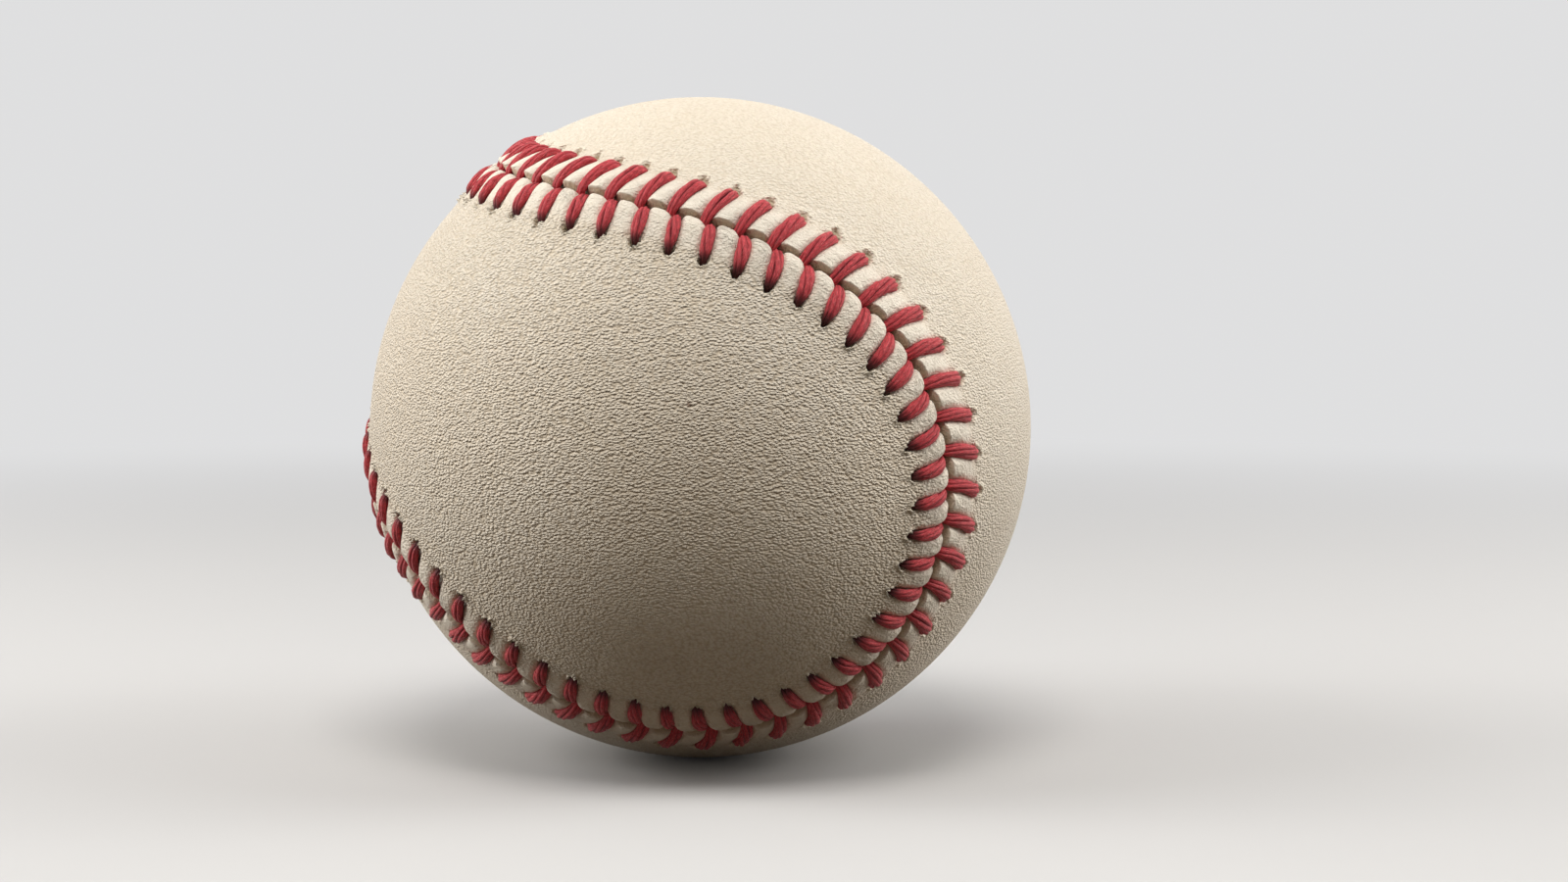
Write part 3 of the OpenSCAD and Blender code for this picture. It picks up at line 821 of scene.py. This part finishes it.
def waxed_thread():
    """Deep red waxed thread: streaks of fibre along each ply, with painted highlights along the hairs, and
    painted shade in the grooves between plies and where it dives out of sight.
    """
    m = Nodes("waxed_thread")
    run = m.coords("UV")
    streak = m.noise(m.mapping(run, scale=STREAK_STRETCH), 1.6, 4, 0.65, 0.3)
    hair = m.noise(m.mapping(run, scale=HAIR_STRETCH), 1.5, 3, 0.6, 0.5)
    patch = m.noise(m.coords(), 420, 3, 0.6)
    colour = m.mix(m.ramp(streak, 0.3, 0.72), FIBRE_DARK, FIBRE_BRIGHT)
    # Painted highlights along the hairs of each ply
    colour = m.mix(m.ramp(hair, 0.53, 0.73, 0, 0.65), colour, HAIR_PAINTED_HIGHLIGHT)
    colour = m.mix(m.ramp(patch, 0.4, 0.7, 0, 0.25), colour, WORN)
    # Painted shade in the grooves between plies
    colour = m.mix(m.math("MULTIPLY", m.attribute("painted_groove_shade"), 0.65), colour, GROOVE_PAINTED_SHADE)
    colour = m.mix(m.math("MULTIPLY", m.attribute("fuzz"), 0.6), colour, FUZZ_TONE)
    # Painted shade: darker towards the gap and down the hole, where the strand dives out of sight
    colour = m.mix(m.ramp(m.attribute("painted_shade"), 0, 1, 0, 0.93, smooth=False), colour, THREAD_PAINTED_SHADE)
    height = m.math("ADD", m.math("MULTIPLY", streak, 0.7), m.math("MULTIPLY", hair, 0.5))
    rough = m.ramp(streak, 0.3, 0.7, 0.58, 0.42)
    return m.finish(colour, rough, m.bump(height, FIBRE_H, 0.9), specular=0.24, sheen=0.08)


def cork():
    """Ground cork pressed with rubber: pale and dark granules."""
    m = Nodes("cork")
    place = m.coords()
    granules = 700
    tint = m.voronoi(place, granules, "F1", "Color")
    seams = m.voronoi(place, granules, "DISTANCE_TO_EDGE")
    colour = m.mix(m.noise(tint, 3, 2), (0.36, 0.22, 0.12), (0.62, 0.44, 0.27))
    colour = m.mix(m.ramp(seams, 0, 0.06, 0.8, 0), colour, (0.13, 0.07, 0.04))
    pores = m.noise(place, 2600, 3, 0.6)
    height = m.math("ADD", m.ramp(seams, 0, 0.1), m.math("MULTIPLY", pores, 0.6))
    return m.finish(colour, 0.85, m.bump(height, 0.00015, 0.7), specular=0.25)


def rubber(name, low, high):
    """Matte moulded rubber with a fine texture and dusty patches."""
    m = Nodes(name)
    place = m.coords()
    patch = m.noise(place, 160, 4, 0.6)
    fine = m.noise(place, 3800, 3, 0.6)
    colour = m.mix(m.ramp(patch, 0.3, 0.7), low, high)
    rough = m.ramp(patch, 0.3, 0.7, 0.55, 0.75)
    return m.finish(colour, rough, m.bump(fine, 0.00004, 0.5), specular=0.4)


# Directions in which the yarn is wound, one layer of turns over the last
WOUND_TURNS = ((0.3, 0.2, 0.4), (1.1, -0.5, 1.7), (-0.8, 0.9, 2.6), (2.2, 0.3, -1.1))


def wound(name, low, high, yarn):
    """Yarn of the given thickness in metres, wound on the ball in many directions, with painted shade
    between its turns.
    """
    m = Nodes(name)
    place = m.coords()
    height = None
    for turn in WOUND_TURNS:
        turned = m.mapping(place, turn=turn)
        wave = m.tree.nodes.new("ShaderNodeTexWave")
        wave.bands_direction = "X"
        wave.inputs["Scale"].default_value = 0.314 / yarn
        wave.inputs["Distortion"].default_value = 1.2
        wave.inputs["Detail Scale"].default_value = 0.6
        m.put(wave.inputs["Vector"], turned)
        layer = wave.outputs["Fac"]
        if height is None:
            height = layer
        else:
            height = m.mix_values(m.ramp(m.noise(turned, 55, 2, 0.5), 0.47, 0.5), height, layer)
    fuzz = m.noise(place, 4200, 4, 0.7)
    # Painted shade: the yarn is darker where it lies low, between its turns
    colour = m.mix(m.ramp(height, 0.1, 0.8), low, high)
    colour = m.mix(m.ramp(fuzz, 0.4, 0.75, 0, 0.3), colour, low)
    total = m.math("ADD", height, m.math("MULTIPLY", fuzz, 0.35))
    return m.finish(colour, 0.9, m.bump(total, yarn * 0.35, 0.8), specular=0.15, sheen=0.3)


leather = cowhide()
thread = waxed_thread()
for piece in (panel_first, panel_second):
    piece.data.materials.append(leather)
for piece in (thread_first, thread_second):
    piece.data.materials.append(thread)

finishes = {
    "cork": cork(),
    "black_rubber": rubber("black_rubber", (0.022, 0.022, 0.024), (0.05, 0.05, 0.052)),
    "gasket_rubber": rubber("gasket_rubber", (0.36, 0.03, 0.025), (0.5, 0.06, 0.04)),
    "red_rubber": rubber("red_rubber", (0.3, 0.04, 0.03), (0.45, 0.08, 0.06)),
    "grey_wool": wound("grey_wool", (0.22, 0.215, 0.21), (0.5, 0.49, 0.475), 0.0011),
    "white_wool": wound("white_wool", (0.55, 0.53, 0.48), (0.86, 0.84, 0.79), 0.0010),
    "white_yarn": wound("white_yarn", (0.6, 0.58, 0.53), (0.9, 0.89, 0.85), 0.0005),
}
for part in frame["record"]["subparts"]:
    if part["material_slot"] in finishes:
        node = frame["nodes"][part["node"]]
        node.data.materials.clear()
        node.data.materials.append(finishes[part["material_slot"]])
        node.data.polygons.foreach_set("use_smooth", [True] * len(node.data.polygons))

for piece, node, slot in (
        (panel_first, "cover_panel_first", "cowhide"),
        (panel_second, "cover_panel_second", "cowhide"),
        (thread_first, "stitch_thread_first", "waxed_thread"),
        (thread_second, "stitch_thread_second", "waxed_thread")):
    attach(piece, "root")
    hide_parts(node)


# Floor and light

PALE = (0.74, 0.74, 0.745)
TABLE_TONE = (0.1, 0.078, 0.055)
FLOOR_LOW, FLOOR_HIGH = (0.58, 0.585, 0.6), (0.61, 0.615, 0.625)
FLOOR_SIZE = 6
FLOOR_PLAY = 0.00002
# Distances from the ball over which the floor passes into the backdrop
FLOOR_FADE = (0.12, 0.55)
SKY_TONE = (1, 0.9, 0.78)
SKY_STRENGTH = 0.05
HIGH_TONE = (1.0, 0.99, 0.972)
LOW_TONE = (1.0, 0.95, 0.875)
# Square lamps that face the ball: name, place, size, power and tone
LAMPS = (
    ("light_front", (0, -0.35, 0.6), 0.3, 2.7, LOW_TONE),
    ("light_above", (0, 0.06, 0.5), 0.9, 1.05, HIGH_TONE),
    ("light_left", (-0.6, 0.1, 0.15), 0.3, 2.1, LOW_TONE),
    ("light_left_high", (-0.5, -0.1, 0.4), 0.3, 1.45, HIGH_TONE),
    ("light_left_back", (-0.6, 0.3, 0.35), 0.35, 0.35, HIGH_TONE),
    ("light_right", (0.6, 0.1, 0.15), 0.3, 1.85, LOW_TONE),
    ("light_right_high", (0.5, -0.1, 0.4), 0.3, 1.1, HIGH_TONE),
    ("light_right_back", (0.6, 0.3, 0.35), 0.35, 0.35, HIGH_TONE))


def lamp(name, place, size, power, tone):
    data = bpy.data.lights.new(name, "AREA")
    data.shape = "RECTANGLE"
    data.size, data.size_y = size, size
    data.energy = power
    data.color = tone
    obj = bpy.data.objects.new(name, data)
    obj.location = place
    obj.rotation_euler = (Vector((0, 0, 0)) - Vector(place)).to_track_quat("-Z", "Y").to_euler()
    bpy.context.scene.collection.objects.link(obj)


def pale_floor():
    """A pale floor that fades into the backdrop, and lights the ball only as a darker table would."""
    lowest = min(v.co.z for piece in (panel_first, panel_second) for v in piece.data.vertices)
    bpy.ops.mesh.primitive_plane_add(size=FLOOR_SIZE, location=(0, 0, lowest - FLOOR_PLAY))
    floor = bpy.context.object
    floor.name = "floor"
    m = Nodes("floor")
    tone = m.mix(m.noise(m.coords(), 3, 2), FLOOR_LOW, FLOOR_HIGH)
    floor.data.materials.append(m.finish(tone, 0.75, specular=0.2))
    seen = m.shown_rays()
    away = m.ramp(m.vector("LENGTH", m.coords()), *FLOOR_FADE)
    glow = m.surface("ShaderNodeEmission", PALE)
    shown = m.mix_shaders(m.math("MULTIPLY", away, seen), m.shader.outputs[0], glow)
    table = m.surface("ShaderNodeBsdfDiffuse", TABLE_TONE)
    m.link(m.mix_shaders(seen, table, shown), m.tree.nodes["Material Output"].inputs["Surface"])
    return floor


def backdrop():
    """A plain pale backdrop that gives the ball only a little light."""
    m = Nodes("world", bpy.data.worlds.new("world"))
    bpy.context.scene.world = m.owner
    dim = m.tree.nodes["Background"]
    dim.inputs["Color"].default_value = (*SKY_TONE, 1)
    dim.inputs["Strength"].default_value = SKY_STRENGTH
    pale = m.surface("ShaderNodeBackground", PALE)
    both = m.mix_shaders(m.shown_rays(), dim.outputs[0], pale)
    m.link(both, m.tree.nodes["World Output"].inputs["Surface"])


for values in LAMPS:
    lamp(*values)
floor = pale_floor()
backdrop()
bpy.context.scene.view_settings.view_transform = "Standard"
